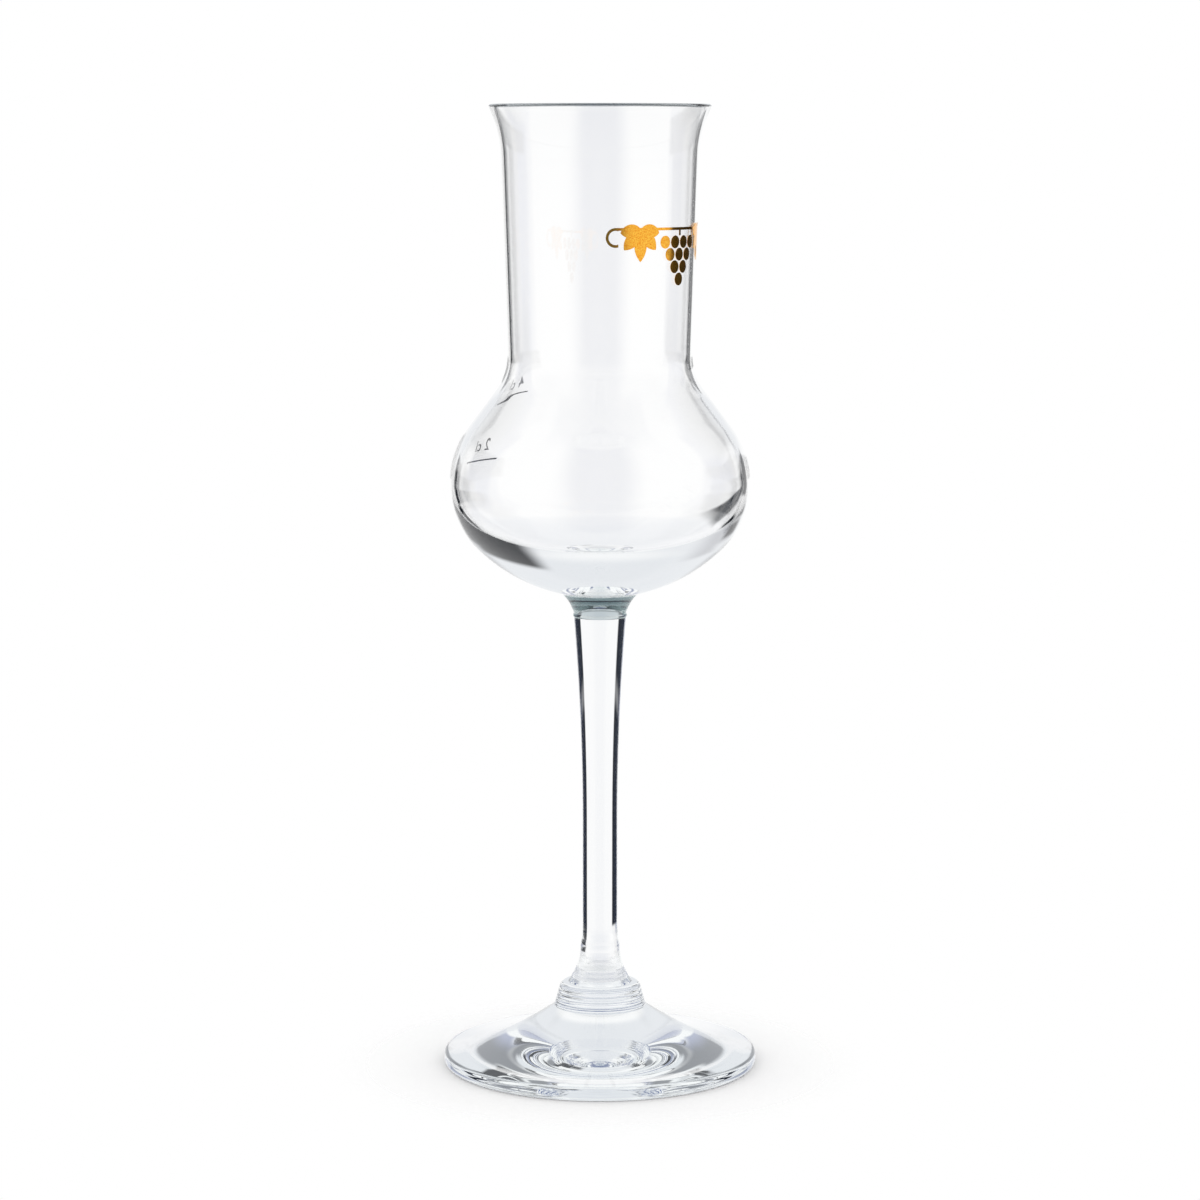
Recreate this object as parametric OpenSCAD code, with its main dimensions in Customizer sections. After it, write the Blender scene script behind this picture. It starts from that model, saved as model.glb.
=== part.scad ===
// Grappa glass: blown chimney bowl, collar, drawn stem and pressed foot, with fired-on prints.
// Millimetres. The glass stands on z = 0 and is turned about the z axis.

/* [Foot] */
// Diameter of the foot plate
foot_d = 58; // [46:0.5:72]
// Height of the plate's edge
foot_edge_h = 2.6; // [2:0.1:4]
// Radius that rounds the plate's edge, above and below
foot_edge_r = 0.9; // [0.3:0.1:1]
// Rise of the plate where it leaves its edge, in degrees
plate_edge_slope = 9; // [0:1:14]
// Height of the plate where the pressed ring stands on it
plate_h = 10.8; // [8:0.1:13]
// Height of the pressed ring
ring_h = 4.5; // [3:0.1:7]
// How much further the ring reaches at the plate than at its shoulder
ring_flare = 0.9; // [0.2:0.1:2]
// How far the ring's shoulder stands out from the neck above it
ring_step = 1.7; // [0.8:0.1:3]
// Radius that rounds the ring's shoulder
ring_round = 1.4; // [0.4:0.1:2]
// Height of the flared neck, from the ring up to the weld with the stem
foot_neck_h = 6.9; // [4:0.1:12]
// How far the neck flares out from the weld down to the ring
foot_neck_flare = 2.3; // [1:0.1:3.5]
// Width of the flat ring that the glass stands on
standing_w = 3.4; // [1.5:0.1:6]
// Rise of the hollow under the foot
hollow_h = 1.8; // [0.5:0.1:3]

/* [Stem] */
// Length of the stem between its two welds
stem_l = 61.5; // [45:0.5:90]
// Diameter at the weld with the foot
stem_low_d = 7.2; // [6.6:0.1:9]
// Diameter at the slim waist
stem_waist_d = 6.4; // [5:0.1:7]
// Diameter at the weld with the collar
stem_top_d = 9.6; // [7.5:0.1:12]
// Height over which the stem widens towards the foot
stem_low_flare = 4.7; // [2:0.1:10]
// Height over which the stem widens towards the collar
stem_top_flare = 38.5; // [15:0.5:40]

/* [Collar] */
// Diameter of the collar where it meets the bowl
collar_d = 14.2; // [11:0.1:18]
// Height of the collar on the axis
collar_h = 3.6; // [2:0.1:6]
// Lean of the collar's side where it leaves the stem, in degrees from upright
collar_lean = 16; // [0:1:25]

/* [Bulb] */
// Outer diameter of the bulb at its widest
bulb_d = 55; // [48:0.5:66]
// Height from the bottom of the bowl to its widest
bulb_depth = 21; // [18:0.1:24]
// Radius of the bulb's side below the widest
bulb_low_r = 16.4; // [12:0.1:17.5]
// Radius of the bulb's side above the widest
bulb_up_r = 17.2; // [10:0.1:20]
// Slope of the shoulder, in degrees from upright
shoulder_slope = 37; // [25:1:45]

/* [Chimney] */
// Outer diameter at the neck, the narrowest part of the bowl
neck_d = 33.7; // [28:0.1:40]
// Radius that blends the shoulder into the chimney
neck_blend_r = 10.9; // [5:0.1:16]
// Outer diameter where the lip starts to flare
chimney_top_d = 36; // [33:0.1:39]
// Outer diameter at the rim
rim_d = 40.2; // [37:0.1:48]
// Height from the neck to the rim
chimney_h = 44.6; // [30:0.1:70]
// Height of the flared lip
lip_h = 9.1; // [5:0.1:15]

/* [Walls] */
// Wall at the rim and along the lip
rim_wall = 0.8; // [0.6:0.05:1.5]
// Wall at the neck
neck_wall = 0.8; // [0.7:0.05:2]
// Wall at the widest of the bulb
bulb_wall = 1.2; // [0.8:0.05:3]
// Glass under the drink, on the axis
base_t = 4.5; // [3:0.1:9]
// Radius of the inside between the wall and the bottom
inside_low_r = 12.3; // [8:0.1:14]

/* [Fill lines] */
// Height of the lower line above the bottom of the bowl
low_line_h = 24.4; // [22:0.1:28]
// Height of the upper line above the bottom of the bowl
high_line_h = 35.9; // [32:0.1:40]
// Where the middle of the lines lies round the glass, in degrees from the x axis
mark_turn = 151; // [0:1:360]
// Length of a line round the glass
mark_l = 12; // [6:0.5:20]
// Width of a line
mark_w = 0.3; // [0.2:0.05:1]
// Thickness of the fired-on enamel
mark_t = 0.05; // [0.03:0.01:0.2]

/* [Gold ornament] */
// Where the middle of the ornament lies round the glass, in degrees from the x axis
ornament_turn = 324; // [0:1:360]
// Height of the vine's runner below the rim
runner_drop = 21.5; // [14:0.1:26]
// How far the runner goes round the glass, in degrees
runner_span = 90; // [70:1:140]
// Width of the runner, the stalk and the tendrils
runner_w = 0.5; // [0.3:0.05:1]
// Radius of the tendril at each end of the runner
tendril_r = 1.5; // [0.8:0.1:2.5]
// Berries in the top row of the bunch
top_berries = 4; // [2:1:5]
// Diameter of a berry
berry_d = 2.3; // [1:0.1:2.8]
// Gap between neighbouring berries
berry_gap = 0.25; // [0.1:0.05:1]
// Length of the bunch's stalk
stalk_l = 1.2; // [0.5:0.1:3]
// Gap that each leaf keeps from the bunch and from the tendril
leaf_gap = 0.4; // [0.2:0.1:1]
// Width of a leaf's lobes
lobe_w = 2.4; // [1.5:0.1:3]
// Thickness of the fired-on gold
gold_t = 0.05; // [0.03:0.01:0.2]

/* [Hidden] */
$fn = 120;
// How far the flats of a drawn arc may lie from the true curve
arc_gap = 0.01;
// Fewest flats on an arc
arc_least = 6;
// Largest share of the bowl's depth that the arc of its side may take
oval_share = 0.9;
// Height of each weld and of the bowl's widest
ring_top_z = plate_h + ring_h;
foot_h = ring_top_z + foot_neck_h;
stem_top_z = foot_h + stem_l;
bowl_z = stem_top_z + collar_h;
bulb_z = bowl_z + bulb_depth;
// Lobes on each side of a leaf's middle lobe, the turn between lobes and how much each is shorter
side_lobes = 2;
lobe_turn = 40;
lobe_fall = 0.17;
// How far a flat drawing is pushed through the wall on each side, so that it reaches all of the curve
print_reach = 3;
glass_tint = [0.80, 0.88, 0.90, 0.45];
enamel_tint = [0.16, 0.16, 0.18];
gold_tint = [0.78, 0.57, 0.20];

// A list in reverse order
function reversed(list) = [for (i = [len(list) - 1 : -1 : 0]) list[i]];

// Flats needed for an arc of radius r that turns by the given angle
function arc_flats(r, turn) = max(arc_least, ceil(abs(turn) / (2 * acos(1 - arc_gap / max(r, 2 * arc_gap)))));

// Points on a circle about c, from one angle to another
function arc(c, r, from, to) =
    let (n = arc_flats(r, to - from))
    [for (i = [0 : n]) let (a = from + (to - from) * i / n) c + r * [cos(a), sin(a)]];

// Points of the arc that leaves s in direction a and ends at e
function tangent_arc(s, a, e) =
    let (chord = e - s)
    let (half_turn = atan2(chord.y, chord.x) - a)
    let (r = norm(chord) / (2 * sin(half_turn)))
    let (n = arc_flats(abs(r), 2 * half_turn))
    [for (i = [0 : n]) let (b = a + 2 * half_turn * i / n) s + r * [sin(b) - sin(a), cos(a) - cos(b)]];

// Lower half of the bowl's wall line: an oval of two arcs, from the axis to the widest
function oval_below(r, side_r, depth, z) =
    let (side = min(side_r, oval_share * depth))
    let (in = r - side, drop = depth - side)
    let (reach = (in * in + drop * drop) / (2 * drop))
    let (join = acos(in / reach))
    concat(
        arc([0, z + reach * sin(join)], side + reach, -90, -join),
        arc([in, z], side, -join, 0));

// Shoulder from the widest to the narrowest: two arcs with a straight slope between them
function shoulder_angle(r, narrow_r, up_r, blend_r) =
    min(shoulder_slope, acos(max(-1, 1 - (r - narrow_r) / (up_r + blend_r))));
function neck_centre(r, narrow_r, up_r, blend_r, z) =
    let (a = shoulder_angle(r, narrow_r, up_r, blend_r))
    let (straight = (r - narrow_r - (up_r + blend_r) * (1 - cos(a))) / sin(a))
    [narrow_r + blend_r, z + (up_r + blend_r) * sin(a) + straight * cos(a)];

// Lean of the straight line from the blend's circle up to a point, in degrees from upright
function chimney_lean(c, blend_r, top) =
    asin(blend_r / norm(c - top)) - atan2(c.x - top.x, top.y - c.y);

// Bulb and neck of a wall line, from the axis up to where the chimney runs straight to its top point
function bulb_and_neck(r, side_r, depth, narrow_r, up_r, blend_r, top) =
    let (c = neck_centre(r, narrow_r, up_r, blend_r, bulb_z))
    let (a = shoulder_angle(r, narrow_r, up_r, blend_r))
    concat(
        oval_below(r, side_r, depth, bulb_z),
        arc([r - up_r, bulb_z], up_r, 0, a),
        arc(c, blend_r, 180 + a, 180 - chimney_lean(c, blend_r, top)));

// The lip is a pair of concentric arcs about a point outside the glass
neck_c = neck_centre(bulb_d / 2, neck_d / 2, bulb_up_r, neck_blend_r, bulb_z);
rim_z = neck_c.y + chimney_h;
lip_foot = [chimney_top_d / 2, rim_z - lip_h];
lip_end = [rim_d / 2, rim_z];
lip_lean = chimney_lean(neck_c, neck_blend_r, lip_foot);
lip_chord = lip_end - lip_foot;
lip_half_turn = 90 - lip_lean - atan2(lip_chord.y, lip_chord.x);
lip_r = norm(lip_chord) / (2 * sin(lip_half_turn));
lip_c = lip_foot + lip_r * [cos(lip_lean), -sin(lip_lean)];
lip_from = 180 - lip_lean;
lip_to = lip_from - 2 * lip_half_turn;

// Outside and inside of the bowl, each from the axis to the rim
outer_line = concat(
    bulb_and_neck(bulb_d / 2, bulb_low_r, bulb_depth, neck_d / 2, bulb_up_r, neck_blend_r, lip_foot),
    arc(lip_c, lip_r, lip_from, lip_to));
inner_lip_foot = lip_c + (lip_r + rim_wall) * [cos(lip_from), sin(lip_from)];
inner_line = concat(
    bulb_and_neck(
        bulb_d / 2 - bulb_wall, inside_low_r, bulb_depth - base_t, neck_d / 2 - neck_wall,
        bulb_up_r - bulb_wall, neck_blend_r + neck_wall, inner_lip_foot),
    arc(lip_c, lip_r + rim_wall, lip_from, lip_to));
rim_c = lip_c + (lip_r + rim_wall / 2) * [cos(lip_to), sin(lip_to)];

// Volume of the cone slice between two points of a line, in millilitres
function slice_ml(a, b) = PI / 3 * (b.y - a.y) * (a.x * a.x + a.x * b.x + b.x * b.x) / 1000;

// Volume of the drink up to a level, in millilitres
function drink_ml(line, level, i = 0) =
    let (a = line[i], b = line[i + 1])
    b.y < level && i < len(line) - 2
        ? slice_ml(a, b) + drink_ml(line, level, i + 1)
        : slice_ml(a, a + (b - a) * min(1, (level - a.y) / (b.y - a.y)));

// Radius of the outer wall at a height
function outer_r(z) = lookup(z, [for (p = outer_line) [p.y, p.x]]);

// Bottom of the bowl inside a radius, which the collar's seat follows
function bowl_bottom(r) =
    let (z = lookup(r, [for (p = outer_line) if (p.y < bulb_z) p]))
    concat([for (p = outer_line) if (p.y < bulb_z && p.x < r) p], [[r, z]]);

echo(str("height ", rim_c.y + rim_wall / 2, " mm"));
for (level = [bowl_z + low_line_h, bowl_z + high_line_h, rim_z])
    echo(str("filled to ", level, " mm it holds ", drink_ml(inner_line, level), " ml"));

// Pressed foot: standing ring, hollow underside, sloped plate, stepped ring and flared neck
module foot() {
    edge_c = foot_d / 2 - foot_edge_r;
    neck_r = stem_low_d / 2 + foot_neck_flare;
    ring_r = neck_r + ring_step;
    round_r = min(ring_round, ring_step);
    edge_top = arc([edge_c, foot_edge_h - foot_edge_r], foot_edge_r, 0, 90 - plate_edge_slope);
    hollow = tangent_arc([0, hollow_h], 0, [edge_c - standing_w, 0]);
    plate = tangent_arc(edge_top[len(edge_top) - 1], 180 - plate_edge_slope, [ring_r + ring_flare, plate_h]);
    shoulder = arc([ring_r - round_r, ring_top_z - round_r], round_r, 0, 90);
    neck = tangent_arc([stem_low_d / 2, foot_h], -90, [neck_r, ring_top_z]);
    color(glass_tint)
        rotate_extrude()
            polygon(concat(
                hollow, arc([edge_c, foot_edge_r], foot_edge_r, -90, 0), edge_top, plate, shoulder,
                reversed(neck), [[0, foot_h]]));
}

// Drawn stem: a slim waist that widens gently to the collar and shortly to the foot
module stem() {
    waist_r = stem_waist_d / 2;
    low = tangent_arc([waist_r, foot_h + stem_low_flare], -90, [stem_low_d / 2, foot_h]);
    high = tangent_arc([waist_r, stem_top_z - stem_top_flare], 90, [stem_top_d / 2, stem_top_z]);
    color(glass_tint)
        rotate_extrude()
            polygon(concat([[0, foot_h]], reversed(low), high, [[0, stem_top_z]]));
}

// Collar: a small flared button, its seat shaped to the bottom of the bowl
module collar() {
    seat = bowl_bottom(collar_d / 2);
    side = tangent_arc([stem_top_d / 2, stem_top_z], 90 - collar_lean, seat[len(seat) - 1]);
    color(glass_tint)
        rotate_extrude()
            polygon(concat([[0, stem_top_z]], side, reversed(seat)));
}

// Blown bowl: heavy bottom, onion bulb, narrow chimney and a flared lip with a round edge
module bowl() {
    color(glass_tint)
        rotate_extrude()
            polygon(concat(
                outer_line, arc(rim_c, rim_wall / 2, lip_to - 180, lip_to), reversed(inner_line)));
}

// A line of enamel on the outside of the bowl, at a height above its bottom
module fill_line(h) {
    z = bowl_z + h;
    span = mark_l / outer_r(z) * 180 / PI;
    low = z - mark_w / 2;
    high = z + mark_w / 2;
    back = concat(
        [[outer_r(low), low]],
        [for (p = outer_line) if (p.y > low && p.y < high) p],
        [[outer_r(high), high]]);
    color(enamel_tint)
        rotate([0, 0, mark_turn - span / 2])
            rotate_extrude(angle = span)
                polygon(concat(back, [for (p = reversed(back)) p + [mark_t, 0]]));
}

module fill_line_2cl() {
    fill_line(low_line_h);
}

module fill_line_4cl() {
    fill_line(high_line_h);
}

// Pushes a flat drawing through the chimney's wall, across from the ornament's middle and down from its runner
module on_chimney(across, down) {
    z = rim_z - runner_drop - down;
    rotate([0, 0, ornament_turn + across / outer_r(z) * 180 / PI])
        translate([outer_r(z) - print_reach, 0, z])
            rotate([90, 0, 90])
                linear_extrude(2 * print_reach)
                    children();
}

// A lobe with two pointed ends that hangs down from the origin
module lobe(l) {
    r = (l * l + lobe_w * lobe_w) / (4 * lobe_w);
    intersection() {
        translate([r - lobe_w / 2, -l / 2])
            circle(r);
        translate([lobe_w / 2 - r, -l / 2])
            circle(r);
    }
}

// A vine leaf: lobes fanned about its foot, reaching equally far to both sides
module vine_leaf(reach) {
    l = reach / ((1 - lobe_fall * side_lobes) * sin(lobe_turn * side_lobes));
    for (i = [-side_lobes : side_lobes])
        rotate(i * lobe_turn)
            lobe(l * (1 - lobe_fall * abs(i)));
}

// A half ring that curls out and down to the right, from a little before the runner's end
module tendril() {
    outer = tendril_r + runner_w / 2;
    translate([0, -tendril_r])
        difference() {
            circle(outer);
            circle(outer - runner_w);
            translate([-outer - runner_w, -outer])
                square([outer, 2 * outer]);
        }
}

// Vine sprig in fired gold: a runner with a bunch of berries between two leaves
module gold_ornament() {
    runner_z = rim_z - runner_drop;
    pitch = berry_d + berry_gap;
    row_drop = pitch * sin(60);
    runner_end = runner_span / 360 * PI * outer_r(runner_z);
    bunch_half = (top_berries - 1) / 2 * pitch + berry_d / 2;
    leaf_room = runner_end - runner_w - bunch_half;
    chimney_foot = neck_c + neck_blend_r * [-cos(lip_lean), sin(lip_lean)];
    film = [gold_t, 0];
    color(gold_tint)
        intersection() {
            rotate_extrude()
                polygon([chimney_foot, chimney_foot + film, lip_foot + film, lip_foot]);
            union() {
                translate([0, 0, runner_z - runner_w / 2])
                    rotate([0, 0, ornament_turn - runner_span / 2])
                        rotate_extrude(angle = runner_span)
                            square([rim_d, runner_w]);
                on_chimney(0, stalk_l / 2)
                    square([runner_w, stalk_l], center = true);
                for (row = [0 : top_berries - 1], i = [0 : top_berries - 1 - row])
                    on_chimney((i - (top_berries - 1 - row) / 2) * pitch, stalk_l + berry_d / 2 + row * row_drop)
                        circle(d = berry_d);
                for (side = [0, 1]) {
                    on_chimney((1 - 2 * side) * (bunch_half + leaf_room / 2), 0)
                        vine_leaf(leaf_room / 2 - leaf_gap);
                    on_chimney((1 - 2 * side) * runner_end, 0)
                        mirror([side, 0])
                            tendril();
                }
            }
        }
}

foot();
stem();
collar();
bowl();
fill_line_2cl();
fill_line_4cl();
gold_ornament();
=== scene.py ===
# %% [markdown]
# # A grappa glass
# A grappa glass is blown and pressed from clear glass: a bowl with a bulb and a narrow chimney, a small
# collar, a drawn stem and a pressed foot. Two fill lines and a gold sprig are fired onto the outside.
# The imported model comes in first, as a fixed frame. Every piece below stands where the frame says, in
# metres.

# %% Load the frame
from math import acos, asin, atan2, ceil, cos, hypot, pi, radians, sin

import bpy
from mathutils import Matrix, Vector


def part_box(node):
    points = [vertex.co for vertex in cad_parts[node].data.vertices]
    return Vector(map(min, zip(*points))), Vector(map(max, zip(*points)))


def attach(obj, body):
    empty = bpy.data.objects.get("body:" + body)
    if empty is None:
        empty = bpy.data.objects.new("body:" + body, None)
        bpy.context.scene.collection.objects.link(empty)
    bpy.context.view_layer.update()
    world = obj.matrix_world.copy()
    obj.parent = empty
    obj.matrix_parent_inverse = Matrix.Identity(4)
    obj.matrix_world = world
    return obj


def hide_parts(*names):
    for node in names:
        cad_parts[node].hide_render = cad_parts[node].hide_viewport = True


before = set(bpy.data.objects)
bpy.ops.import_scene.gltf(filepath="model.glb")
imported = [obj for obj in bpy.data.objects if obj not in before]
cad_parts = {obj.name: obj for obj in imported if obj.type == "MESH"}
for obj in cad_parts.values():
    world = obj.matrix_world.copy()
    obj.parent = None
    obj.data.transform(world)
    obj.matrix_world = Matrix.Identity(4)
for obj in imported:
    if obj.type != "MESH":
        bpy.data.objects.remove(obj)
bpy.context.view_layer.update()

MM = 0.001
BODY = "root"

# %% [markdown]
# ## The camera
# The photograph was taken with a long lens from just below the rim, so the rim is a thin line and the
# foot an open oval. A camera can be aimed by eye, but its height and tilt were worked out from those
# two ovals.

# %% Set up the camera
PHOTO_PX = 1200
FOCAL_PX = 3496
SENSOR_W = 36
CAMERA_DISTANCE = 637 * MM
CAMERA_Z = 170.4 * MM
CAMERA_TILT = radians(7.48)

bpy.ops.object.camera_add(
    location=(0, -CAMERA_DISTANCE, CAMERA_Z),
    rotation=(pi / 2 - CAMERA_TILT, 0, 0),
)
camera = bpy.context.object
camera.name = "photo_camera"
camera.data.sensor_width = SENSOR_W
camera.data.lens = FOCAL_PX / PHOTO_PX * SENSOR_W
bpy.context.scene.camera = camera
bpy.context.scene.view_settings.view_transform = "Standard"
print("Lens", round(camera.data.lens, 1), "mm")

# %% [markdown]
# ## Helpers for shader nodes
# The world and every material below are trees of nodes. They could be clicked together in the shader
# editor; in a script a few short functions that add, link and mix nodes keep each tree readable.

# %% Add and link shader nodes
def node(tree, kind, **values):
    """Adds a shader node and sets its properties."""
    made = tree.nodes.new(kind)
    for name, value in values.items():
        setattr(made, name, value)
    return made


def feed(tree, socket, value):
    """Gives a socket a number, or links another node's output to it."""
    if isinstance(value, (int, float)):
        socket.default_value = value
    else:
        tree.links.new(value, socket)


def maths(tree, operation, first, second=0.0):
    """Adds a maths node; each of the two inputs is a number or another node's output."""
    made = node(tree, "ShaderNodeMath", operation=operation)
    feed(tree, made.inputs[0], first)
    feed(tree, made.inputs[1], second)
    return made.outputs[0]


print("Helpers for", bpy.app.version_string)

# %% Mix by a share from 0 to 1
def at_least(tree, value, count):
    """1 where a whole number is at least a count, and 0 elsewhere."""
    return maths(tree, "GREATER_THAN", value, count - 0.5)


def soft_step(tree, value, start, end):
    """Rises smoothly from 0 to 1 while a value goes from start to end."""
    made = node(tree, "ShaderNodeMapRange", interpolation_type="SMOOTHSTEP")
    tree.links.new(value, made.inputs["Value"])
    made.inputs["From Min"].default_value = start
    made.inputs["From Max"].default_value = end
    return made.outputs["Result"]


def window(tree, value, limits):
    """Rises from 0 to 1 between the first two of four limits, and falls again between the last two."""
    inside = soft_step(tree, value, *limits[:2])
    beyond = soft_step(tree, value, *limits[2:])
    return maths(tree, "SUBTRACT", inside, beyond)


def blend(tree, share, first, second):
    """Mixes two shaders: the first where the share is 0 and the second where it is 1."""
    made = node(tree, "ShaderNodeMixShader")
    tree.links.new(share, made.inputs["Fac"])
    tree.links.new(first, made.inputs[1])
    tree.links.new(second, made.inputs[2])
    return made.outputs[0]


print("A share can step, rise softly, open as a window and blend two shaders")

# %% [markdown]
# ## Light for glass
# Clear glass has no colour of its own: it shows what stands around it. A glass photographer puts it
# before a white wall and sets dark cards at both sides, so that the edges of the glass are drawn in
# dark lines. Soft boxes beside the camera give the bright bands down its front, and the dim room behind
# the camera gives the cool grey between them. Real cards would stand in the way of the other views, so
# here they are painted on the world, one over the other, where only glass and metal see them.
# Everything else sees plain white.

# %% Choose the tones and the large cards
WHITE = (1, 1, 1, 1)
TABLE_TOP = (0.80, 0.81, 0.82, 1)
FAR_TABLE = (0.91, 0.92, 0.94, 1)
PALE_WALL = (0.80, 0.82, 0.85, 1)
PALE_CARD = (0.56, 0.57, 0.60, 1)
GREY_WALL = (0.44, 0.47, 0.60, 1)
GREY_CARD = (0.26, 0.27, 0.29, 1)
DIM_ROOM = (0.15, 0.19, 0.34, 1)
BLACK_CARD = (0.012, 0.015, 0.02, 1)
ALL_ROUND = (-200, -190, 190, 200)

# Each patch: its colour, then four bearings in degrees to the right of the view and four heights in degrees
# above the horizon. It fades in between the first two and out between the last two, and a later patch covers
# an earlier one.
STUDIO = {
    "upper wall": (PALE_WALL, (-48, -32, 32, 48), (-2, 9, 100, 110)),
    "far table": (FAR_TABLE, (-30, -12, 12, 30), (-50, -40, -21, -16)),
    "table top": (TABLE_TOP, ALL_ROUND, (-110, -100, -60, -48)),
    "room, left": (DIM_ROOM, (-200, -190, -112, -106), (-60, -42, 100, 110)),
    "room, right": (DIM_ROOM, (106, 112, 190, 200), (-60, -42, 100, 110)),
    "soft box, left": (WHITE, (-166, -136, -100, -90), (-80, -45, 45, 80)),
    "soft box, right": (WHITE, (90, 100, 140, 164), (-80, -45, 45, 80)),
    "wall, left": (GREY_WALL, (-87, -83, -60, -50), (-26, -18, 42, 50)),
    "wall, right": (GREY_WALL, (50, 60, 83, 87), (-26, -18, 42, 50)),
    "card, high left": (GREY_CARD, (-84, -56, -40, -31), (12, 20, 38, 50)),
    "card, high right": (GREY_CARD, (31, 40, 56, 84), (12, 20, 38, 50)),
    "card, low left": (BLACK_CARD, (-84, -78, -36, -32), (-17, -15, -6, -4)),
    "card, low right": (BLACK_CARD, (37, 40, 88, 94), (-28, -25, -6, -4)),
}
print("Studio of", len(STUDIO), "patches that all glass sees")

# %% [markdown]
# ## Cards for one part of the glass
# A photographer also holds small cards close to one part of the glass, where the other parts don't see
# them. The world is far away, so there such a card is told apart by the way of the light: how often it
# passed a surface of the glass, or was mirrored in it, before it got there. The comment on each group
# says which light sees it.

# %% Place the small cards
# For the edges of the stem: light that passed one piece of glass, or was mirrored on its outside
STEM_STRIPS = {
    "strip, left": (BLACK_CARD, (-72, -66, -36, -32), (-6, -4, 0, 2)),
    "strip, right": (BLACK_CARD, (36, 39, 84, 90), (-6, -4, 0, 2)),
}

# For the rim and the edge of the foot: light that was bent and never mirrored
CEILING = {
    "ceiling": (BLACK_CARD, (-100, -80, 80, 100), (20, 30, 100, 110)),
}

# For the edges of the bowl: light that passed two walls, or was mirrored inside one
EDGE_CARDS = {
    "line left": (BLACK_CARD, (-42, -38, -27.5, -25), (-17, -15, 3, 5)),
    "line right": (BLACK_CARD, (23, 25, 40, 44), (-12, -9, 3, 6)),
    "low line left": (BLACK_CARD, (-31, -28, -22, -19), (-33, -29, -18, -15)),
    "low line right": (BLACK_CARD, (19, 22, 28, 31), (-33, -29, -24, -21)),
}

# For the bottom of the bowl: light that was mirrored twice or more
BOWL_CARDS = {
    "grey left": (PALE_CARD, (-42, -36, -28, -17), (3, 6, 11, 15)),
    "streak left": (BLACK_CARD, (-40, -36, -33, -29), (3, 6, 9, 12)),
    "crescent": (BLACK_CARD, (11, 17, 38, 44), (1.5, 4.5, 13, 18)),
}

# For the right of the bulb: light that passed two walls and was never mirrored
THROUGH_CARDS = {
    "line right, high": (BLACK_CARD, (13, 15, 30, 34), (1, 3, 10, 14)),
}

# For the same light, a card that leans: its heights are counted from a line that rises by one degree for
# each degree to the right
LEANING_CARDS = {
    "streak right": (BLACK_CARD, (3, 6.5, 30, 36), (-29, -27, -20, -18.5)),
}
print("The edges of the bowl have", len(EDGE_CARDS), "cards, its bottom", len(BOWL_CARDS))

# %% Tell the ways of the light apart
TWO_WALLS = 4

world = bpy.data.worlds.new("studio")
bpy.context.scene.world = world
world.use_nodes = True
sky = world.node_tree
rays = node(sky, "ShaderNodeLightPath").outputs
shiny = maths(sky, "MAXIMUM", rays["Is Glossy Ray"], rays["Is Transmission Ray"])
passed = at_least(sky, rays["Transmission Depth"], 1)
passed_two_walls = at_least(sky, rays["Transmission Depth"], TWO_WALLS)
mirrored = at_least(sky, rays["Glossy Depth"], 1)
mirrored_twice = at_least(sky, rays["Glossy Depth"], 2)
mirrored_inside = maths(sky, "MINIMUM", passed, mirrored)
at_edges = maths(sky, "MAXIMUM", passed_two_walls, mirrored_inside)
at_one_piece = maths(sky, "GREATER_THAN", shiny, at_edges)
only_bent = maths(sky, "GREATER_THAN", passed, mirrored)
bent_by_two_walls = maths(sky, "GREATER_THAN", passed_two_walls, mirrored)
print("Light that passed", TWO_WALLS, "surfaces passed two walls")

# %% Paint the studio on the world
axes = node(sky, "ShaderNodeSeparateXYZ")
sky.links.new(node(sky, "ShaderNodeTexCoord").outputs["Generated"], axes.inputs[0])
bearing = maths(sky, "DEGREES", maths(sky, "ARCTAN2", axes.outputs["X"], axes.outputs["Y"]))
height = maths(sky, "DEGREES", maths(sky, "ARCSINE", axes.outputs["Z"]))
leaning = maths(sky, "SUBTRACT", height, bearing)
plain = sky.nodes["Background"]
plain.inputs["Color"].default_value = WHITE
painted = plain.outputs[0]
for patches, seen_by, level in (
    (STUDIO, shiny, height),
    (STEM_STRIPS, at_one_piece, height),
    (CEILING, only_bent, height),
    (EDGE_CARDS, at_edges, height),
    (BOWL_CARDS, mirrored_twice, height),
    (THROUGH_CARDS, bent_by_two_walls, height),
    (LEANING_CARDS, bent_by_two_walls, leaning),
):
    for colour, bearings, heights in patches.values():
        patch = node(sky, "ShaderNodeBackground")
        patch.inputs["Color"].default_value = colour
        cover = maths(sky, "MULTIPLY", window(sky, bearing, bearings), window(sky, level, heights))
        painted = blend(sky, maths(sky, "MULTIPLY", cover, seen_by), painted, patch.outputs[0])
sky.links.new(painted, sky.nodes["World Output"].inputs["Surface"])
print("The world has", len(sky.nodes), "nodes")

# %% [markdown]
# ## The table
# The glass stands on a plain white table. A large plane would show a horizon. A round sheet is enough:
# its edge fades out, so that it runs into the white behind it with no line. It keeps the soft shadow,
# but the glass looks past it into the studio.

# %% Paint the table
TABLE_FADE = (0.026, 0.052)


def new_material(name):
    """A material with a plain Principled surface."""
    made = bpy.data.materials.new(name)
    made.use_nodes = True
    return made, made.node_tree, made.node_tree.nodes["Principled BSDF"]


def object_place(tree):
    """Where a shaded point is on its piece: its Object coordinates, in metres."""
    return node(tree, "ShaderNodeTexCoord").outputs["Object"]


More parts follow.
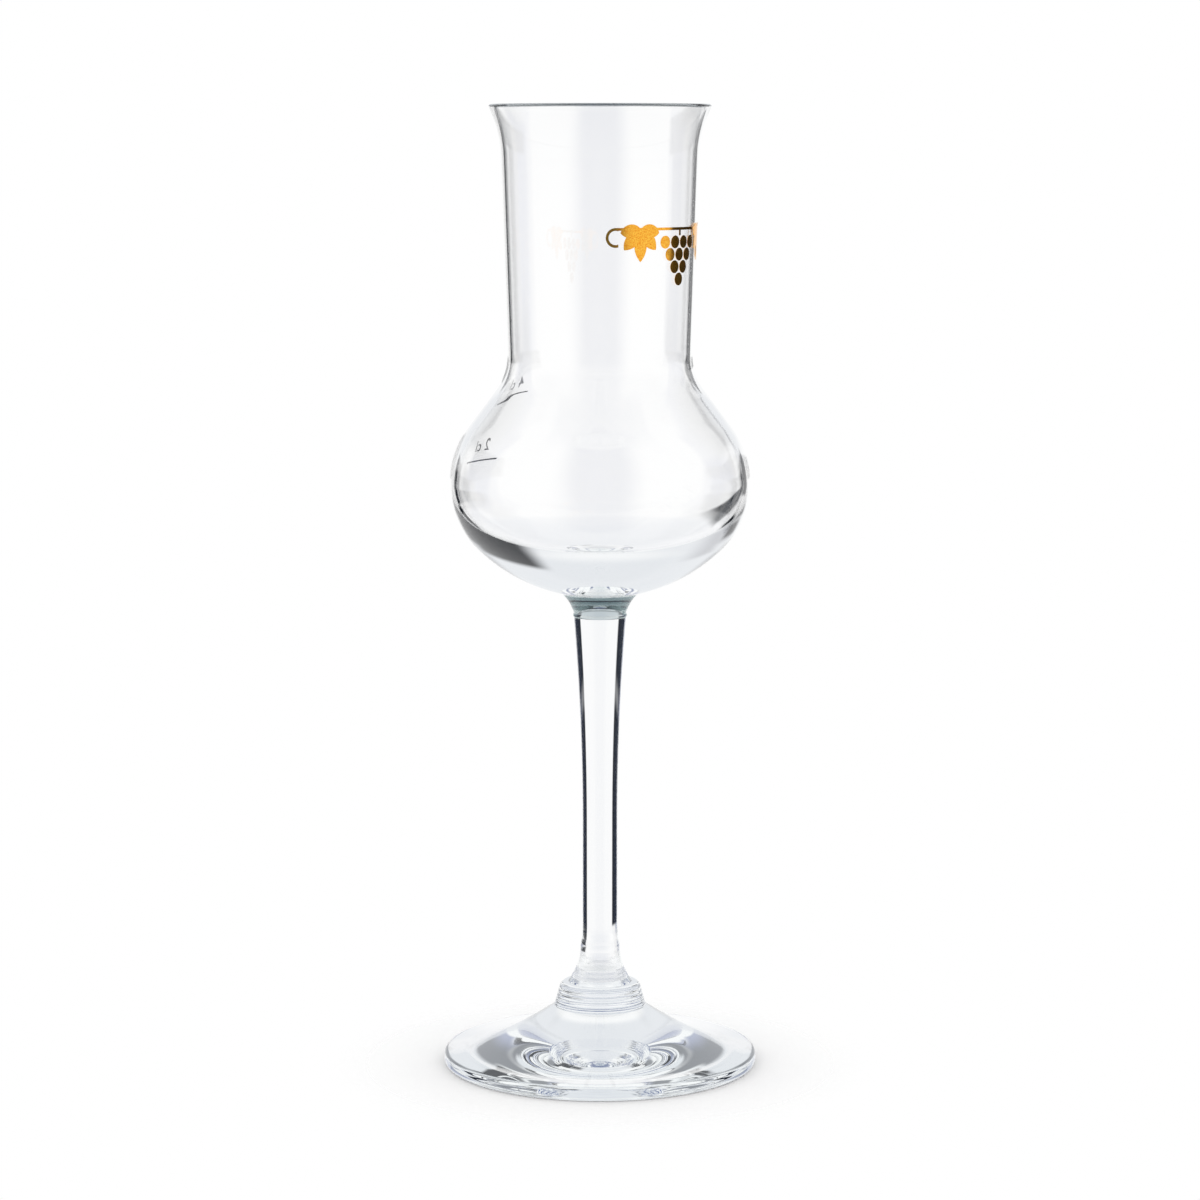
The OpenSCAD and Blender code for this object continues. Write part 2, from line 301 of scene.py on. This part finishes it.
table_paint, tree, surface = new_material("table_white")
surface.inputs["Base Color"].default_value = WHITE
surface.inputs["Roughness"].default_value = 0.9
surface.inputs["Specular IOR Level"].default_value = 0.0
distance = node(tree, "ShaderNodeVectorMath", operation="LENGTH")
tree.links.new(object_place(tree), distance.inputs[0])
beyond_edge = soft_step(tree, distance.outputs["Value"], *TABLE_FADE)
nothing = node(tree, "ShaderNodeBsdfTransparent")
faded = blend(tree, beyond_edge, surface.outputs[0], nothing.outputs[0])
tree.links.new(faded, tree.nodes["Material Output"].inputs["Surface"])
print(table_paint.name, "fades from", TABLE_FADE[0], "to", TABLE_FADE[1], "m")

# %% Lay the table
TABLE_R = 0.055
TABLE_SIDES = 96

bpy.ops.object.select_all(action="DESELECT")
bpy.ops.mesh.primitive_circle_add(vertices=TABLE_SIDES, radius=TABLE_R, fill_type="NGON")
table = bpy.context.object
table.name = "table"
table.data.materials.append(table_paint)
table.visible_transmission = False
table.visible_glossy = False
print("Table of radius", TABLE_R, "m")

# %% [markdown]
# ## Outlines
# Every glass piece here is turned about the upright axis, as it was on the glassmaker's tools. So each
# needs only half an outline. It could be traced point by point, but a mould maker would draw it with
# arcs: an arc about a centre, and an arc that leaves a point in a given direction and ends at another.
# Points are pairs of radius and height.

# %% Draw arcs
ARC_STEP = 1 * MM
ARC_TURN = radians(3)
LEAST_STEPS = 4


def arc_steps(r, angle):
    """How many straight steps an arc needs to look round."""
    return max(LEAST_STEPS, ceil(abs(angle) / ARC_TURN), ceil(abs(r * angle) / ARC_STEP))


def arc(centre, r, start, end):
    """Points on a circle about a centre, from one angle to another, in radians."""
    n = arc_steps(r, end - start)
    angles = [start + (end - start) * i / n for i in range(n + 1)]
    return [(centre[0] + r * cos(a), centre[1] + r * sin(a)) for a in angles]


def tangent_arc(start, heading, end):
    """Points of the arc that leaves start in a heading and ends at end."""
    chord = (end[0] - start[0], end[1] - start[1])
    half_turn = atan2(chord[1], chord[0]) - heading
    r = hypot(*chord) / (2 * sin(half_turn))
    n = arc_steps(abs(r), 2 * half_turn)
    turns = [heading + 2 * half_turn * i / n for i in range(n + 1)]
    return [(start[0] + r * (sin(b) - sin(heading)), start[1] + r * (cos(heading) - cos(b))) for b in turns]


print("An arc of 10 mm and a quarter turn takes", arc_steps(10 * MM, pi / 2), "steps")

# %% Join lines and step along them
SAME_POINT = MM / 1000


def between(here, there, share):
    """The point at a share of the way from one point to another."""
    return here[0] + (there[0] - here[0]) * share, here[1] + (there[1] - here[1]) * share


def length(here, there):
    """The distance between two points."""
    return hypot(there[0] - here[0], there[1] - here[1])


def joined(*stretches):
    """One outline from several stretches, without points that repeat."""
    points = []
    for stretch in stretches:
        for point in stretch:
            if not points or length(points[-1], point) > SAME_POINT:
                points.append(point)
    return points


def evenly(line, steps):
    """The same line as points in even steps along it."""
    reach = [0]
    for here, there in zip(line, line[1:]):
        reach.append(reach[-1] + length(here, there))
    points = []
    for step in range(steps):
        gone = reach[-1] * step / steps
        k = max(i for i in range(len(line) - 1) if reach[i] <= gone)
        points.append(between(line[k], line[k + 1], (gone - reach[k]) / (reach[k + 1] - reach[k])))
    return points + [line[-1]]


print("Points closer than", SAME_POINT / MM, "mm are one point")

# %% [markdown]
# ## Turning an outline
# In Blender the lathe is the spin operator. A Screw modifier would do the same, but spin works in edit
# mode, right where the line was drawn. One point is extruded along the outline, and the line that it
# leaves is spun round the axis. The first and the last copy then lie on each other, and every copy of a
# point on the axis lies in one place, so doubles are merged and the faces are turned outwards.

# %% Make the lathe
TURN_STEPS = 240
MERGE_GAP = MM / 2000
SMOOTH_BELOW = radians(28)


def turned(name, outline):
    """Extrudes a point along an outline of radius and height, and spins the line into a closed piece."""
    bpy.ops.object.select_all(action="DESELECT")
    bpy.ops.mesh.primitive_plane_add(size=MM)
    piece = bpy.context.object
    piece.name = name
    piece.data.name = name
    bpy.ops.object.mode_set(mode="EDIT")
    bpy.ops.mesh.merge(type="CENTER")
    bpy.ops.transform.translate(value=(outline[0][0], 0, outline[0][1]))
    for here, there in zip(outline, outline[1:]):
        step = (there[0] - here[0], 0, there[1] - here[1])
        bpy.ops.mesh.extrude_region_move(TRANSFORM_OT_translate={"value": step})
    bpy.ops.mesh.select_all(action="SELECT")
    bpy.ops.mesh.spin(steps=TURN_STEPS, angle=2 * pi, center=(0, 0, 0), axis=(0, 0, 1))
    bpy.ops.mesh.select_all(action="SELECT")
    bpy.ops.mesh.remove_doubles(threshold=MERGE_GAP)
    bpy.ops.mesh.normals_make_consistent(inside=False)
    bpy.ops.object.mode_set(mode="OBJECT")
    bpy.ops.object.shade_smooth_by_angle(angle=SMOOTH_BELOW)
    return piece


print("The lathe takes", TURN_STEPS, "steps round")

# %% [markdown]
# ## Clear glass
# Soda glass bends light by an index of about 1.5 and is a little green where it is thick. A Principled
# surface with full transmission does the bending, and a faint absorption inside gives the tint. Blown
# glass is never quite even, so a slow noise raises the surface by a few thousandths of a millimetre.
# Light can bounce to and fro inside thick glass, and the renderer gives up such a ray and shows black.
# So after a few inner reflections the surface lets a ray go straight on, into the studio.

# %% Mix the glass
GLASS_INDEX = 1.5
GLASS_TINT = (0.88, 0.95, 0.96, 1)
GLASS_DENSITY = 8.0
JOINT_TINT = (0.30, 0.46, 0.48, 1)
JOINT_DENSITY = 55.0


def add_waves(tree, surface, waves, wave_height):
    """Raises a surface in slow waves, so many to the metre each way, by a height."""
    stretch = node(tree, "ShaderNodeMapping")
    stretch.inputs["Scale"].default_value = waves
    tree.links.new(object_place(tree), stretch.inputs["Vector"])
    noise = node(tree, "ShaderNodeTexNoise")
    noise.inputs["Scale"].default_value = 1.0
    noise.inputs["Detail"].default_value = 2.0
    tree.links.new(stretch.outputs["Vector"], noise.inputs["Vector"])
    bump = node(tree, "ShaderNodeBump")
    bump.inputs["Strength"].default_value = 1.0
    bump.inputs["Distance"].default_value = wave_height
    tree.links.new(noise.outputs["Fac"], bump.inputs["Height"])
    tree.links.new(bump.outputs["Normal"], surface.inputs["Normal"])


def clear_glass(name, waves, wave_height, free_after, tint=GLASS_TINT, density=GLASS_DENSITY):
    """Clear glass with a tint inside and waves on its surface, that frees rays after some reflections."""
    made, tree, surface = new_material(name)
    surface.inputs["Base Color"].default_value = WHITE
    surface.inputs["Transmission Weight"].default_value = 1.0
    surface.inputs["IOR"].default_value = GLASS_INDEX
    surface.inputs["Roughness"].default_value = 0.0
    add_waves(tree, surface, waves, wave_height)
    trapped = at_least(tree, node(tree, "ShaderNodeLightPath").outputs["Glossy Depth"], free_after)
    straight_on = node(tree, "ShaderNodeBsdfTransparent")
    out = tree.nodes["Material Output"]
    tree.links.new(blend(tree, trapped, surface.outputs[0], straight_on.outputs[0]), out.inputs["Surface"])
    inside = node(tree, "ShaderNodeVolumeAbsorption")
    inside.inputs["Color"].default_value = tint
    inside.inputs["Density"].default_value = density
    tree.links.new(inside.outputs["Volume"], out.inputs["Volume"])
    return made


blown_glass = clear_glass("blown_glass", waves=(60, 60, 25), wave_height=0.004 * MM, free_after=2)
drawn_glass = clear_glass("drawn_glass", waves=(150, 150, 20), wave_height=0.002 * MM, free_after=5)
pressed_glass = clear_glass("pressed_glass", waves=(120, 120, 120), wave_height=0.004 * MM, free_after=5)
joint_glass = clear_glass(
    "joint_glass",
    waves=(150, 150, 150),
    wave_height=0.002 * MM,
    free_after=5,
    tint=JOINT_TINT,
    density=JOINT_DENSITY,
)
for glass in (blown_glass, drawn_glass, pressed_glass, joint_glass):
    print(glass.name, "has", len(glass.node_tree.nodes), "nodes")

# %% [markdown]
# ## Marks of making, and painted shade at the rim
# The mould leaves a haze where the glass isn't polished in the fire. The dark line round the rim is painted
# shade: the glass's colour is darkened there, in place of the dark that the thin melted edge mirrors and
# bends. Each could be a material of its own on some faces, but then it would begin at an edge. Here the
# height on the piece fades the haze and the painted shade in, within the same glass.

# %% Make the haze and paint the rim shade
# A painted shade for the rim line: the dark that the rim mirrors and bends, put into the glass's colour
RIM_PAINTED_SHADE = (0.16, 0.18, 0.19, 1)
RIM_SHADE_H = 0.4 * MM
RIM_SHADE_FADE = 0.1 * MM


def object_height(tree):
    """How high a shaded point is on its piece, in metres."""
    axes = node(tree, "ShaderNodeSeparateXYZ")
    tree.links.new(object_place(tree), axes.inputs[0])
    return axes.outputs["Z"]


def add_haze(glass, heights, roughness):
    """Roughens a glass within four heights, as a mould leaves it."""
    tree = glass.node_tree
    surface = tree.nodes["Principled BSDF"]
    share = window(tree, object_height(tree), heights)
    tree.links.new(maths(tree, "MULTIPLY", share, roughness), surface.inputs["Roughness"])


def paint_rim_shade(glass, top):
    """Paints shade into a glass's colour: a dark line round its rim, just below its top."""
    tree = glass.node_tree
    surface = tree.nodes["Principled BSDF"]
    line_low = top - RIM_SHADE_H
    share = soft_step(tree, object_height(tree), line_low - RIM_SHADE_FADE, line_low)
    # The glass's colour turns from clear to the painted shade just below the top
    colours = node(tree, "ShaderNodeValToRGB")
    colours.color_ramp.elements[0].color = WHITE
    colours.color_ramp.elements[1].color = RIM_PAINTED_SHADE
    tree.links.new(share, colours.inputs["Fac"])
    tree.links.new(colours.outputs["Color"], surface.inputs["Base Color"])


print("The rim line is", round(RIM_SHADE_H / MM, 2), "mm high")

# %% [markdown]
# ## Welds
# The four pieces were fused while hot, so the real glass has no surface between them. Joining the
# meshes would hide that, but they are separate pieces here. So each stays closed, and its faces on a
# weld let light through as if they weren't there.

# %% Make the weld
LEVEL = 0.99

weld, tree, surface = new_material("weld")
seam = node(tree, "ShaderNodeBsdfTransparent")
tree.links.new(seam.outputs[0], tree.nodes["Material Output"].inputs["Surface"])
tree.nodes.remove(surface)


def dress(piece, glass, welded):
    """Gives a piece its glass, and the weld to each face that welded says lies on a neighbour."""
    piece.data.materials.append(glass)
    piece.data.materials.append(weld)
    count = 0
    for face in piece.data.polygons:
        if welded(face.center, face.normal):
            face.material_index = 1
            count += 1
    print(piece.name, "has", len(piece.data.polygons), "faces,", count, "of them on a weld")


print("A level face has an upright share of its normal over", LEVEL)

# %% [markdown]
# ## The foot
# The foot was pressed in a mould: a round plate that stands on a flat ring, hollow beneath, with a
# stepped ring and a short flared neck that takes the stem. The mould left fine beads round the ring and
# ripples and a haze on the neck. Bump alone would leave the outline smooth, so those stretches are
# drawn with small swells.

# %% Measure the foot
FOOT_EDGE_H = 2.6 * MM
FOOT_EDGE_R = 0.9 * MM
PLATE_EDGE_SLOPE = radians(9)
PLATE_H = 10.8 * MM
RING_H = 4.5 * MM
RING_FLARE = 0.9 * MM
RING_STEP = 1.7 * MM
RING_ROUND = 1.4 * MM
FOOT_NECK_FLARE = 2.3 * MM
STANDING_W = 3.4 * MM
HOLLOW_H = 1.8 * MM
STEM_LOW_R = 3.6 * MM

foot_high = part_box("foot")[1]
foot_r = foot_high.x
foot_h = foot_high.z
edge_c = foot_r - FOOT_EDGE_R
ring_top = PLATE_H + RING_H
neck_r = STEM_LOW_R + FOOT_NECK_FLARE
ring_r = neck_r + RING_STEP
print("The foot is", round(2 * foot_r / MM, 1), "mm wide and", round(foot_h / MM, 1), "mm high")

# %% Turn the foot
RING_BEADS = 4
BEAD_OUT = 0.05 * MM
NECK_RIPPLES = 7
RIPPLE_OUT = 0.03 * MM
SWELL_STEPS = 8
HAZE = 0.14
HAZE_EDGE = 0.5 * MM


def swelled(line, count, out):
    """The same line with a number of small swells that stand out from it."""
    points = evenly(line, count * SWELL_STEPS)
    return [(r + out * abs(sin(pi * step / SWELL_STEPS)), z) for step, (r, z) in enumerate(points)]


edge_top = arc((edge_c, FOOT_EDGE_H - FOOT_EDGE_R), FOOT_EDGE_R, 0, pi / 2 - PLATE_EDGE_SLOPE)
ring_foot = (ring_r + RING_FLARE, PLATE_H)
ring_shoulder = arc((ring_r - RING_ROUND, ring_top - RING_ROUND), RING_ROUND, 0, pi / 2)
neck_flare = tangent_arc((STEM_LOW_R, foot_h), -pi / 2, (neck_r, ring_top))[::-1]
foot_outline = joined(
    tangent_arc((0, HOLLOW_H), 0, (edge_c - STANDING_W, 0)),
    arc((edge_c, FOOT_EDGE_R), FOOT_EDGE_R, -pi / 2, 0),
    edge_top,
    tangent_arc(edge_top[-1], pi - PLATE_EDGE_SLOPE, ring_foot),
    swelled([ring_foot, ring_shoulder[0]], RING_BEADS, BEAD_OUT),
    ring_shoulder,
    swelled(neck_flare, NECK_RIPPLES, RIPPLE_OUT),
    [(0, foot_h)],
)
foot = turned("glass_foot", foot_outline)
add_haze(pressed_glass, (ring_top, ring_top + HAZE_EDGE, foot_h, foot_h + HAZE_EDGE), HAZE)
dress(foot, pressed_glass, lambda place, normal: normal.z > LEVEL and place.z > foot_h - MERGE_GAP)
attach(foot, BODY)
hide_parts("foot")

# %% [markdown]
# ## The stem
# The stem is drawn out of hot glass: slim at its waist, thicker towards the collar. A cone would have
# straight sides and a corner at each end. So two arcs leave the waist upright, and the line between
# them is turned.

# %% Turn the stem
STEM_WAIST_R = 3.2 * MM
STEM_LOW_FLARE = 4.7 * MM
STEM_TOP_FLARE = 38.5 * MM

stem_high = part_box("stem")[1]
stem_top_r = stem_high.x
stem_top = stem_high.z
stem_outline = joined(
    [(0, foot_h)],
    tangent_arc((STEM_WAIST_R, foot_h + STEM_LOW_FLARE), -pi / 2, (STEM_LOW_R, foot_h))[::-1],
    tangent_arc((STEM_WAIST_R, stem_top - STEM_TOP_FLARE), pi / 2, (stem_top_r, stem_top)),
    [(0, stem_top)],
)
stem = turned("glass_stem", stem_outline)
dress(stem, drawn_glass, lambda place, normal: abs(normal.z) > LEVEL)
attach(stem, BODY)
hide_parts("stem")

# %% [markdown]
# ## The bowl
# The bowl is one blown shell. Its outside is a line of arcs: an oval below, a shoulder, a neck and a
# chimney that flares to the lip. The inside is a line of the same kind with an oval of its own, so the
# glass is thin at the rim and thicker at the bottom. A solidify modifier could not do that: it keeps
# one thickness.

# %% Draw the bulb
BULB_DEPTH = 21 * MM
BULB_LOW_R = 16.4 * MM
BULB_UP_R = 17.2 * MM

bowl_low, bowl_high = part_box("bowl")
bulb_r = bowl_high.x
bulb_z = bowl_low.z + BULB_DEPTH


def oval_below(r, side_r, depth):
    """The lower half of the bulb: an oval of two arcs, from the axis to the widest."""
    inner = r - side_r
    drop = depth - side_r
    reach = (inner * inner + drop * drop) / (2 * drop)
    join = acos(inner / reach)
    bottom = arc((0, bulb_z + reach * sin(join)), side_r + reach, -pi / 2, -join)
    return bottom + arc((inner, bulb_z), side_r, -join, 0)


print("The bulb is", round(2 * bulb_r / MM, 1), "mm wide,", round(bulb_z / MM, 1), "mm above the table")

# %% Draw the neck
SHOULDER_SLOPE = radians(37)
NECK_R = 16.85 * MM
NECK_BLEND_R = 10.9 * MM
CHIMNEY_H = 44.6 * MM


def neck_centre(r, narrow_r, up_r, blend_r):
    """Centre of the arc that blends the shoulder into the chimney."""
    bends = up_r + blend_r
    slope_l = (r - narrow_r - bends * (1 - cos(SHOULDER_SLOPE))) / sin(SHOULDER_SLOPE)
    return narrow_r + blend_r, bulb_z + bends * sin(SHOULDER_SLOPE) + slope_l * cos(SHOULDER_SLOPE)


def lean_to(centre, blend_r, top):
    """Lean of the straight line from the blend's arc up to a point, from upright."""
    away = (centre[0] - top[0], top[1] - centre[1])
    return asin(blend_r / hypot(*away)) - atan2(*away)


neck_c = neck_centre(bulb_r, NECK_R, BULB_UP_R, NECK_BLEND_R)
rim_z = neck_c[1] + CHIMNEY_H
print("The neck is at", round(neck_c[1] / MM, 1), "mm and the rim at", round(rim_z / MM, 1), "mm")

# %% [markdown]
# ## The wall of the bowl
# Outside and inside follow the same steps with other sizes, so one function draws both. Hot glass
# flows, so the inside has no sudden change of bend: above the widest place its line is eased, by moving
# each point a little towards its neighbours. A subdivision surface would ease it too, but it would pull
# the rim in as well.

# %% Draw a line of the wall
STRAIGHT_STEPS = 16
EASE_STEPS = 140
EASE_PASSES = 15


def straight(start, end):
    """Points in even steps between two points."""
    return [between(start, end, i / STRAIGHT_STEPS) for i in range(STRAIGHT_STEPS + 1)]


def wall_line(r, side_r, depth, narrow_r, up_r, blend_r, top):
    """A wall line from the axis to the top of the straight chimney: the bulb's lower half, then the rest."""
    centre = neck_centre(r, narrow_r, up_r, blend_r)
    shoulder = arc((r - up_r, bulb_z), up_r, 0, SHOULDER_SLOPE)
    neck = arc(centre, blend_r, pi + SHOULDER_SLOPE, pi - lean_to(centre, blend_r, top))
    rest = joined(shoulder, straight(shoulder[-1], neck[0]), neck, straight(neck[-1], top))
    return oval_below(r, side_r, depth), rest


def eased(line):
    """The same line with its bends eased: each point goes towards its neighbours, many times."""
    points = evenly(line, EASE_STEPS)
    for _ in range(EASE_PASSES):
        trios = zip(points, points[1:], points[2:])
        points[1:-1] = [tuple((a + 2 * b + c) / 4 for a, b, c in zip(*trio)) for trio in trios]
    return points


print("The inside is eased in", EASE_PASSES, "passes")

# %% [markdown]
# ## Turning the bowl
# The lip was melted round after the bowl was cut to its height. So the line goes up the outside, over a
# half round rim and down the inside to the axis, and one spin makes the shell closed, with its true
# thickness. Two shells, one in the other, would have to be bridged at the rim.

# %% Draw the lip
CHIMNEY_TOP_R = 18 * MM
RIM_R = 20.1 * MM
LIP_H = 9.1 * MM
RIM_WALL = 0.8 * MM

lip_foot = (CHIMNEY_TOP_R, rim_z - LIP_H)
lip_lean = lean_to(neck_c, NECK_BLEND_R, lip_foot)
lip_bend = pi / 2 - lip_lean - atan2(LIP_H, RIM_R - CHIMNEY_TOP_R)
lip_r = hypot(LIP_H, RIM_R - CHIMNEY_TOP_R) / (2 * sin(lip_bend))
lip_c = (lip_foot[0] + lip_r * cos(lip_lean), lip_foot[1] - lip_r * sin(lip_lean))
lip_from = pi - lip_lean
lip_to = lip_from - 2 * lip_bend
outer_lip = arc(lip_c, lip_r, lip_from, lip_to)
inner_lip = arc(lip_c, lip_r + RIM_WALL, lip_from, lip_to)
rim_c = between(outer_lip[-1], inner_lip[-1], 1 / 2)
rim_round = arc(rim_c, RIM_WALL / 2, lip_to - pi, lip_to)
print("The lip bends with a radius of", round(lip_r / MM, 1), "mm")

# %% Turn the bowl
NECK_WALL = 0.8 * MM
BULB_WALL = 1.2 * MM
BASE_T = 4.5 * MM
INSIDE_LOW_R = 12.3 * MM

outer_low, outer_rest = wall_line(bulb_r, BULB_LOW_R, BULB_DEPTH, NECK_R, BULB_UP_R, NECK_BLEND_R, lip_foot)
inner_low, inner_rest = wall_line(
    bulb_r - BULB_WALL,
    INSIDE_LOW_R,
    BULB_DEPTH - BASE_T,
    NECK_R - NECK_WALL,
    BULB_UP_R - BULB_WALL,
    NECK_BLEND_R + NECK_WALL,
    inner_lip[0],
)
outer_line = joined(outer_low, outer_rest, outer_lip)
inner_line = joined(inner_low, eased(inner_rest), inner_lip)
collar_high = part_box("collar")[1]
collar_r = collar_high.x
seat_z = collar_high.z
bowl = turned("glass_bowl", joined(outer_line, rim_round, inner_line[::-1]))
# Painted shade: the dark line round the rim is put into the bowl's glass colour
paint_rim_shade(blown_glass, bowl_high.z)
dress(
    bowl,
    blown_glass,
    lambda place, normal: normal.z < 0 and place.z < seat_z and hypot(place.x, place.y) < collar_r,
)
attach(bowl, BODY)
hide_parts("bowl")

# %% [markdown]
# ## The collar
# A small button of glass joins the bowl to the stem. Its glass is a little darker than the rest, and a
# fine bead runs round it where it meets the stem. Its seat could be cut out by a boolean with the bowl,
# but borrowing the bowl's own points gives the same seat, point for point.

# %% Turn the collar
COLLAR_LEAN = radians(16)
COLLAR_BEAD_H = 0.7 * MM
COLLAR_BEAD_OUT = 0.15 * MM
SEAT_LEVEL = 0.8

bead_low = (stem_top_r, stem_top)
bead_high = (stem_top_r, stem_top + COLLAR_BEAD_H)
seat_line = [point for point in outer_line if point[1] < bulb_z and point[0] < collar_r]
seat_line.append((collar_r, seat_z))
collar_outline = joined(
    [(0, stem_top)],
    swelled([bead_low, bead_high], 1, COLLAR_BEAD_OUT),
    tangent_arc(bead_high, pi / 2 - COLLAR_LEAN, (collar_r, seat_z)),
    seat_line[::-1],
)
collar = turned("glass_collar", collar_outline)
dress(collar, joint_glass, lambda place, normal: normal.z < -LEVEL or normal.z > SEAT_LEVEL)
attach(collar, BODY)
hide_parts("collar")

# %% [markdown]
# ## The prints
# The fill lines and the sprig are thin films fired onto the outside. Their solids have the right shape
# already, so they keep their meshes and only get a finish: the lines a dull dark enamel, the sprig a
# bright gold with a grain fine enough to sparkle. A noise sets that grain, in real size, on Object
# coordinates.

# %% Mix the enamel and the gold
ENAMEL_TONES = ((0.05, 0.05, 0.055, 1), (0.09, 0.09, 0.10, 1))
ENAMEL_GRAIN = 3000
GOLD_TONES = ((0.85, 0.30, 0.02, 1), (1.0, 0.58, 0.08, 1))
GOLD_GRAIN = 5000
GOLD_RELIEF = 0.0015 * MM
GRAIN_STOPS = (0.35, 0.65)


def grained(name, tones, grain):
    """A surface whose colour varies in fine grains between two tones; also returns the grains."""
    made, tree, surface = new_material(name)
    noise = node(tree, "ShaderNodeTexNoise")
    noise.inputs["Scale"].default_value = grain
    noise.inputs["Detail"].default_value = 3.0
    tree.links.new(object_place(tree), noise.inputs["Vector"])
    colours = node(tree, "ShaderNodeValToRGB")
    for stop, place, tone in zip(colours.color_ramp.elements, GRAIN_STOPS, tones):
        stop.position = place
        stop.color = tone
    tree.links.new(noise.outputs["Fac"], colours.inputs["Fac"])
    tree.links.new(colours.outputs["Color"], surface.inputs["Base Color"])
    return made, tree, surface, noise.outputs["Fac"]


enamel, _, surface, _ = grained("fired_enamel", ENAMEL_TONES, ENAMEL_GRAIN)
surface.inputs["Roughness"].default_value = 0.4

gold, tree, surface, grains = grained("fired_gold", GOLD_TONES, GOLD_GRAIN)
surface.inputs["Metallic"].default_value = 1.0
surface.inputs["Roughness"].default_value = 0.14
relief = node(tree, "ShaderNodeBump")
relief.inputs["Distance"].default_value = GOLD_RELIEF
tree.links.new(grains, relief.inputs["Height"])
tree.links.new(relief.outputs["Normal"], surface.inputs["Normal"])
print("The gold has", GOLD_GRAIN, "grains to the metre")

# %% Finish the prints
PRINTS = {"fill_line_2cl": enamel, "fill_line_4cl": enamel, "gold_ornament": gold}

for name, finish in PRINTS.items():
    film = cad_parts[name].data
    film.materials.clear()
    film.materials.append(finish)
    print(name, "is", finish.name)

# %% [markdown]
# ## The numerals
# Above each fill line stands its volume, in slanted numerals that face outwards. Text is flat, so it
# becomes a mesh first. A shrinkwrap modifier would press it onto the wall and squeeze it where the wall
# leans. So each of its points is carried round the bowl and up along the wall, and keeps its distances.

# %% Climb the wall
def up_the_wall(z, climb):
    """Radius and height on the outside of the bowl, a way up along the wall from a height."""
    above = [point for point in outer_line if point[1] > max(z, bulb_z)]
    here = above[0]
    for there in above[1:]:
        step = length(here, there)
        if climb < step:
            return between(here, there, climb / step)
        climb -= step
        here = there
    return here


print("10 mm up from the widest, the bowl is", round(2 * up_the_wall(bulb_z, 10 * MM)[0] / MM, 1), "mm wide")

# %% Print the numerals
NUMERAL_SIZE = 3.5 * MM
NUMERAL_BOLD = 0.03 * MM
NUMERAL_SPACING = 1.12
NUMERAL_SLANT = 0.25
NUMERAL_GAP = 1.3 * MM
NUMERAL_CUTS = 2
FILM_T = 0.03 * MM
FILM_LIFT = 0.04 * MM


def numerals(name, words, line_node):
    """Writes words above a fill line, as a thin film on the outside of the bowl."""
    line_low, line_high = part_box(line_node)
    middle = (line_low + line_high) / 2
    bpy.ops.object.select_all(action="DESELECT")
    bpy.ops.object.text_add()
    words_film = bpy.context.object
    words_film.name = name
    words_film.data.body = words
    words_film.data.size = NUMERAL_SIZE
    words_film.data.space_character = NUMERAL_SPACING
    words_film.data.shear = NUMERAL_SLANT
    words_film.data.offset = NUMERAL_BOLD
    words_film.data.extrude = FILM_T / 2
    words_film.data.align_x = "CENTER"
    bpy.ops.object.convert(target="MESH")
    words_film.data.name = name
    bpy.ops.object.mode_set(mode="EDIT")
    bpy.ops.mesh.select_all(action="SELECT")
    bpy.ops.mesh.remove_doubles(threshold=MERGE_GAP)
    bpy.ops.mesh.subdivide(number_cuts=NUMERAL_CUTS)
    bpy.ops.object.mode_set(mode="OBJECT")
    for point in words_film.data.vertices:
        across, climb, lift = point.co
        r, z = up_the_wall(line_high.z, NUMERAL_GAP + climb)
        a = atan2(middle.y, middle.x) + across / r
        r += FILM_LIFT + lift
        point.co = (r * cos(a), r * sin(a), z)
    words_film.data.materials.append(enamel)
    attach(words_film, BODY)
    print(name, "has", len(words_film.data.vertices), "points")


numerals("numerals_2cl", "2 cl", "fill_line_2cl")
numerals("numerals_4cl", "4 cl", "fill_line_4cl")
